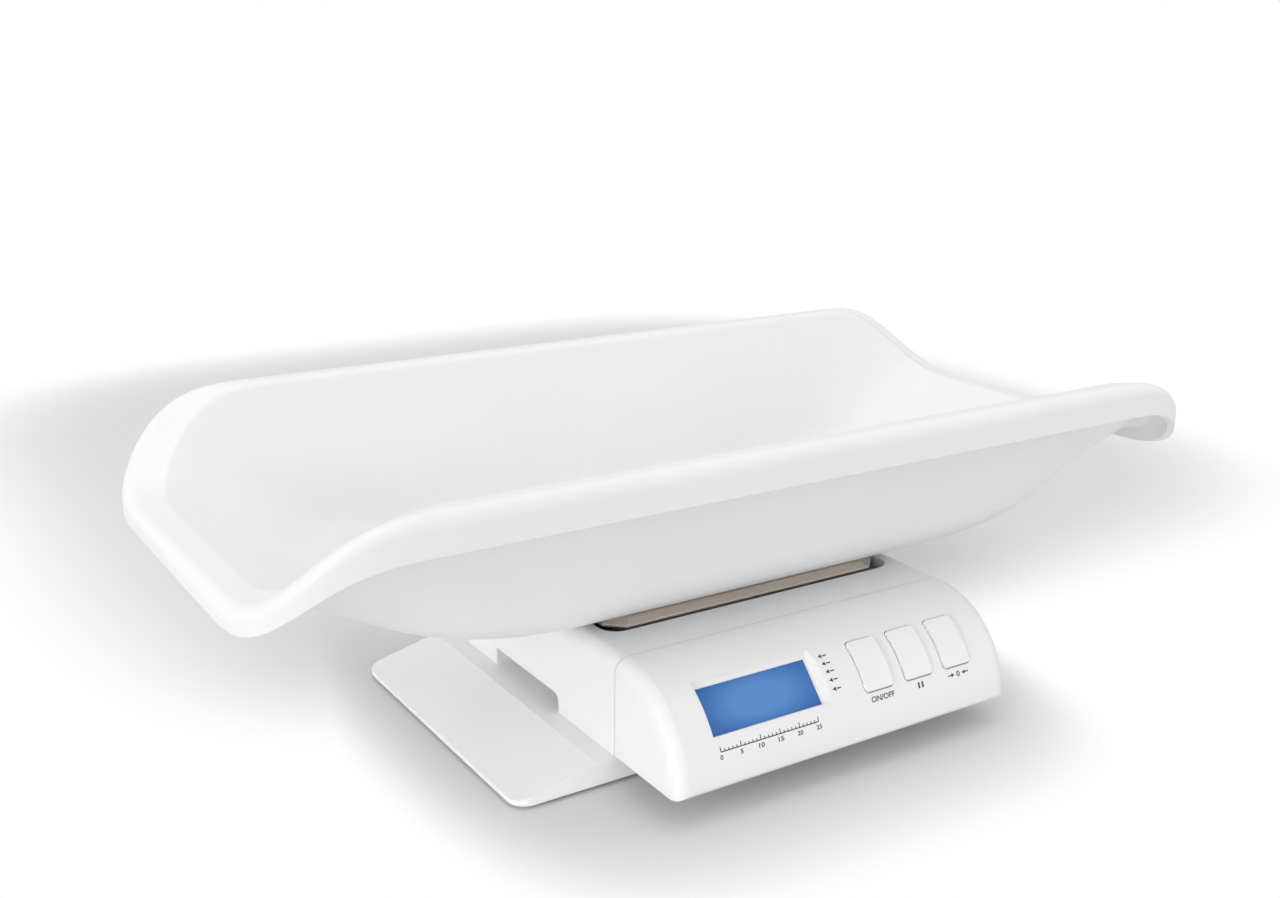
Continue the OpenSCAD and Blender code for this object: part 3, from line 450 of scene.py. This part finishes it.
def print_text(bm, text, x, arc, w, h):
    """Plain characters fitted to a box centred at x and standing on arc.

    Of the extrusion only the sign is kept: it says which side of the slab a point is on.
    """
    curve = bpy.data.curves.new("glyphs", "FONT")
    curve.body = text
    curve.resolution_u = GLYPH_STEPS
    curve.extrude = 1.0
    curve.offset = GLYPH_WEIGHT
    o = bpy.data.objects.new("glyphs", curve)
    mesh = bpy.data.meshes.new_from_object(o)
    xs = [v.co.x for v in mesh.vertices]
    ys = [v.co.y for v in mesh.vertices]
    kx = w / (max(xs) - min(xs))
    ky = h / (max(ys) - min(ys))
    verts = []
    for v in mesh.vertices:
        at = (x - w / 2 + (v.co.x - min(xs)) * kx, arc + (v.co.y - min(ys)) * ky)
        verts.append(bm.verts.new(on_console(*at, math.copysign(INK, v.co.z))))
    for f in mesh.polygons:
        bm.faces.new([verts[i] for i in f.vertices])
    bpy.data.objects.remove(o)
    bpy.data.curves.remove(curve)
    bpy.data.meshes.remove(mesh)


def mark_buttons(bm):
    """Under the buttons: a switch word, two hold bars, and a zero between two arrows."""
    line = math.radians(LABEL_ANGLE) * CONSOLE_R
    print_text(bm, "ON/OFF", POWER_X, line, POWER_W, POWER_H)
    for side in (-1, 1):
        print_bar(bm, HOLD_X + side * HOLD_REACH, line + HOLD_H / 2, HOLD_W, HOLD_H)
        print_arrow(bm, TARE_X + side * ARROW_REACH, line + ZERO_H / 2, side,
                    half=1.1, stem_at=3.6, thick=0.6)
    print_text(bm, "0", TARE_X, line, ZERO_W, ZERO_H)


def mark_pointers(bm):
    """Plain pointers beside the display."""
    for angle in POINTER_ANGLES:
        at = math.radians(angle) * CONSOLE_R + POINTER_RISE
        print_arrow(bm, POINTER_TIP, at, 1, half=1.2, stem_at=4.3, thick=0.7)


def mark_rule(bm):
    """A graduated rule under the display, numbered at its long ticks."""
    base = math.radians(RULE_ANGLE) * CONSOLE_R
    length = RULE_RIGHT - RULE_LEFT
    print_bar(bm, (RULE_LEFT + RULE_RIGHT) / 2, base, length, RULE_LINE)
    for i in range(RULE_STEPS + 1):
        x = RULE_LEFT + length * i / RULE_STEPS
        long_tick = i % RULE_LONG_EVERY == 0
        tall = TICK_LONG if long_tick else TICK_SHORT
        print_bar(bm, x, base + tall / 2, TICK_W, tall)
        if long_tick:
            label = str(i)
            print_text(bm, label, x, base - DIGIT_DROP, DIGIT_W * len(label), DIGIT_H)


def make_marks():
    """Generic marks only, printed on the console's curved front."""
    bm = bmesh.new()
    mark_buttons(bm)
    mark_pointers(bm)
    mark_rule(bm)
    bmesh.ops.recalc_face_normals(bm, faces=bm.faces)
    marks = add_mesh("console_marks", bm, MATERIALS["mark_ink"])
    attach(marks, "base")


# ---------------------------------------------------------------- studio
def paper_material(name, colour, halo_shade, shadow_patches, near, far):
    """Diffuse paper that turns plain white to the camera outside rounded patches, and keeps a
    painted shadow inside them.

    Each patch is (centre, half sizes) in metres, laid round the object. To the camera,
    halo_shade is the tone kept
    inside them: painted shade that makes the paper there darker than its lamps do, a grey halo
    round the object.
    The change to white runs from near to far, as shares of their half sizes. Fourth powers of x
    and y make the patches squarish with round corners.
    """
    mat = bpy.data.materials.new(name)
    mat.use_nodes = True
    t = mat.node_tree
    t.nodes.clear()
    link = t.links.new
    node = partial(add_node, t)

    out = node("ShaderNodeOutputMaterial")
    path = node("ShaderNodeLightPath")
    coord = node("ShaderNodeTexCoord")
    grain = node("ShaderNodeTexNoise")
    grain.inputs["Scale"].default_value = 3.0
    link(coord.outputs["Object"], grain.inputs["Vector"])
    tone = node("ShaderNodeValToRGB")
    tone.color_ramp.elements[0].color = (*(c * PAPER_GRAIN for c in colour), 1.0)
    tone.color_ramp.elements[1].color = (*colour, 1.0)
    link(grain.outputs["Fac"], tone.inputs["Fac"])
    # Painted shade: to the camera the paper is multiplied by a darker tone than the light on it
    # gives.
    shade = node("ShaderNodeMixRGB", blend_type="MULTIPLY")
    shade.inputs["Color2"].default_value = (halo_shade, halo_shade, halo_shade, 1.0)
    link(path.outputs["Is Camera Ray"], shade.inputs["Fac"])
    link(tone.outputs["Color"], shade.inputs["Color1"])
    diffuse = node("ShaderNodeBsdfDiffuse")
    link(shade.outputs["Color"], diffuse.inputs["Color"])

    # These rounded areas hold a painted shadow, a grey halo round the object; outside them the
    # paper turns white.
    reach = None
    for centre, half in shadow_patches:
        place = node("ShaderNodeMapping", vector_type="TEXTURE")
        place.inputs["Location"].default_value = (*centre, 0.0)
        place.inputs["Scale"].default_value = (*half, 1.0)
        square = node("ShaderNodeVectorMath", operation="MULTIPLY")
        fourth = node("ShaderNodeVectorMath", operation="DOT_PRODUCT")
        link(coord.outputs["Object"], place.inputs["Vector"])
        link(place.outputs["Vector"], square.inputs[0])
        link(place.outputs["Vector"], square.inputs[1])
        link(square.outputs["Vector"], fourth.inputs[0])
        link(square.outputs["Vector"], fourth.inputs[1])
        value = fourth.outputs["Value"]
        if reach is not None:
            least = node("ShaderNodeMath", operation="MINIMUM")
            link(reach, least.inputs[0])
            link(value, least.inputs[1])
            value = least.outputs["Value"]
        reach = value
    fade = node("ShaderNodeMapRange", interpolation_type="SMOOTHSTEP")
    fade.inputs["From Min"].default_value = near ** 4
    fade.inputs["From Max"].default_value = far ** 4
    link(reach, fade.inputs["Value"])
    away = node("ShaderNodeMath", operation="MULTIPLY")
    link(path.outputs["Is Camera Ray"], away.inputs[0])
    link(fade.outputs["Result"], away.inputs[1])
    white = node("ShaderNodeEmission")
    mix = node("ShaderNodeMixShader")
    link(away.outputs["Value"], mix.inputs["Fac"])
    link(diffuse.outputs["BSDF"], mix.inputs[1])
    link(white.outputs["Emission"], mix.inputs[2])
    link(mix.outputs["Shader"], out.inputs["Surface"])
    return mat


def make_floor():
    """A paper sweep, square to the camera, with its back bent up."""
    size = 8.0
    rise = 4.0
    bend = 1.5
    steps = 16
    rows = [(-size, 0.0), (size - bend, 0.0)]
    for i in range(1, steps + 1):
        a = math.pi / 2 * i / steps
        rows.append((size - bend + bend * math.sin(a), bend - bend * math.cos(a)))
    rows.append((size, rise))
    turn = Matrix.Rotation(-math.radians(YAW), 4, "Z")
    bm = bmesh.new()
    lines = []
    for y, z in rows:
        lines.append([bm.verts.new(turn @ Vector((x, y, z))) for x in (-size, size)])
    for a, b in zip(lines, lines[1:]):
        bm.faces.new((a[0], a[1], b[1], b[0]))
    # Painted shadow: two rounded areas, under the body and behind the tray, where the paper
    # stays grey as a halo round the object.
    shadow_under_body = ((-0.015, 0.06), (0.165, 0.235))
    shadow_behind_tray = ((0.21, 0.48), (0.44, 0.42))
    paper = paper_material("studio_paper", (0.80, 0.80, 0.80), halo_shade=0.92,
                           shadow_patches=(shadow_under_body, shadow_behind_tray), near=0.86, far=1.26)
    floor = add_mesh("studio_floor", bm, paper)
    floor.data.shade_smooth()


def make_world(strength):
    """White surroundings: full strength to the camera and in reflections, else strength."""
    world = bpy.data.worlds.new("studio_world")
    bpy.context.scene.world = world
    world.use_nodes = True
    t = world.node_tree
    t.nodes.clear()
    link = t.links.new
    node = partial(add_node, t)

    out = node("ShaderNodeOutputWorld")
    bg = node("ShaderNodeBackground")
    bg.inputs["Color"].default_value = (1.0, 1.0, 1.0, 1.0)
    path = node("ShaderNodeLightPath")
    seen = node("ShaderNodeMath", operation="MAXIMUM")
    link(path.outputs["Is Camera Ray"], seen.inputs[0])
    link(path.outputs["Is Glossy Ray"], seen.inputs[1])
    level = node("ShaderNodeMapRange")
    level.inputs["To Min"].default_value = strength
    level.inputs["To Max"].default_value = 1.0
    link(seen.outputs["Value"], level.inputs["Value"])
    link(level.outputs["Result"], bg.inputs["Strength"])
    link(bg.outputs["Background"], out.inputs["Surface"])


def area_light(name, at, look, size, power, spread=180.0):
    """A soft lamp, width and height in metres, power in watts, spread in degrees."""
    light = bpy.data.lights.new(name, "AREA")
    light.shape = "RECTANGLE"
    light.size, light.size_y = size
    light.energy = power
    light.spread = math.radians(spread)
    o = add_object(name, light)
    o.location = at
    o.rotation_euler = (Vector(look) - Vector(at)).to_track_quat("-Z", "Y").to_euler()


def make_lights():
    make_world(strength=0.84)
    body = (0.0, 0.0, 0.08)
    left_foot = (-0.12, -0.07, 0.0)
    area_light("key_left", (-2.4, -0.5, 0.62), body, size=(1.6, 0.9), power=11.5)
    area_light("low_left", (-1.5, -0.75, 0.07), left_foot,
               size=(0.7, 0.10), power=0.08, spread=12.0)
    area_light("front_fill", (-0.3, -2.8, 0.8), body, size=(2.2, 1.0), power=3.2)
    area_light("top_soft", (0.2, 0.2, 2.6), body, size=(2.6, 2.2), power=11.0)


def make_camera():
    """The camera fitted to the photograph."""
    yaw, pitch, roll = (math.radians(v) for v in (YAW, PITCH, ROLL))
    flat = math.cos(pitch)
    ahead = Vector((math.sin(yaw) * flat, math.cos(yaw) * flat, -math.sin(pitch)))
    level = Vector((math.cos(yaw), -math.sin(yaw), 0.0))
    up = level.cross(ahead)
    right = math.cos(roll) * level + math.sin(roll) * up
    up = -math.sin(roll) * level + math.cos(roll) * up
    data = bpy.data.cameras.new("photo_camera")
    data.sensor_width = 36.0
    data.lens = FOCAL_PX / IMAGE_W * data.sensor_width
    data.clip_start = 0.05
    data.clip_end = 60.0
    cam = add_object("photo_camera", data)
    turn = Matrix((right, up, -ahead)).transposed()
    eye = Vector((EYE[0], EYE[1] + AXIS_Y, EYE[2])) * MM
    cam.matrix_world = Matrix.Translation(eye) @ turn.to_4x4()
    bpy.context.scene.camera = cam


bpy.context.scene.view_settings.view_transform = "Standard"
make_camera()
make_materials()
dress_nodes()
make_tray()
make_marks()
make_floor()
make_lights()
